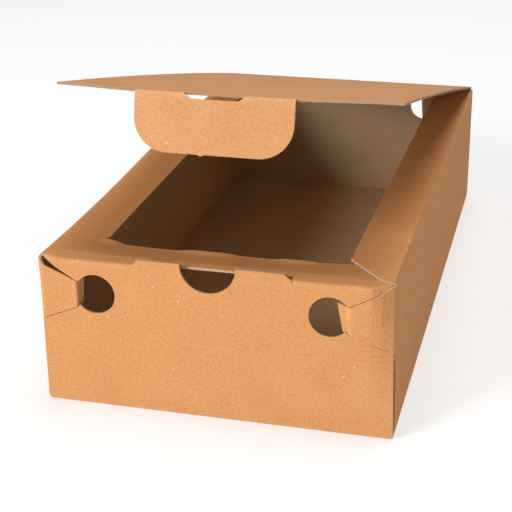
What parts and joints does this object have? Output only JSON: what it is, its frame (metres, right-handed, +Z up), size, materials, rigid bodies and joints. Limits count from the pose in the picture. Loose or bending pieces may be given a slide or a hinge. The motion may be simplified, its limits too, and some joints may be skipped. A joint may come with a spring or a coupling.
{
  "type": "hamburger box",
  "caption": "Long kraft take-away box with inward flanges round its mouth, hooked corner locks, round vents and a hinged lid that tucks in behind a notched tongue.",
  "frame": {"origin": "middle of the underside of the base", "axes": "+Z up, +X to the right as seen from the front, +Y from the front wall to the hinged back wall"},
  "size_m": [0.14, 0.282, 0.1297],
  "materials": {
    "kraft_board": "matt unbleached kraft liner with fibres and specks, pale flute at the cut edges"
  },
  "bodies": {
    "tray": {"tray": "kraft_board"},
    "lid": {"lid": "kraft_board"}
  },
  "joints": [
    {"name": "lid_hinge", "type": "hinge", "parent": "tray", "child": "lid", "pos_m": [0, 0.14055, 0.06425], "axis": [-1, 0, 0], "range_deg": [-13.5, 166.5]}
  ]
}
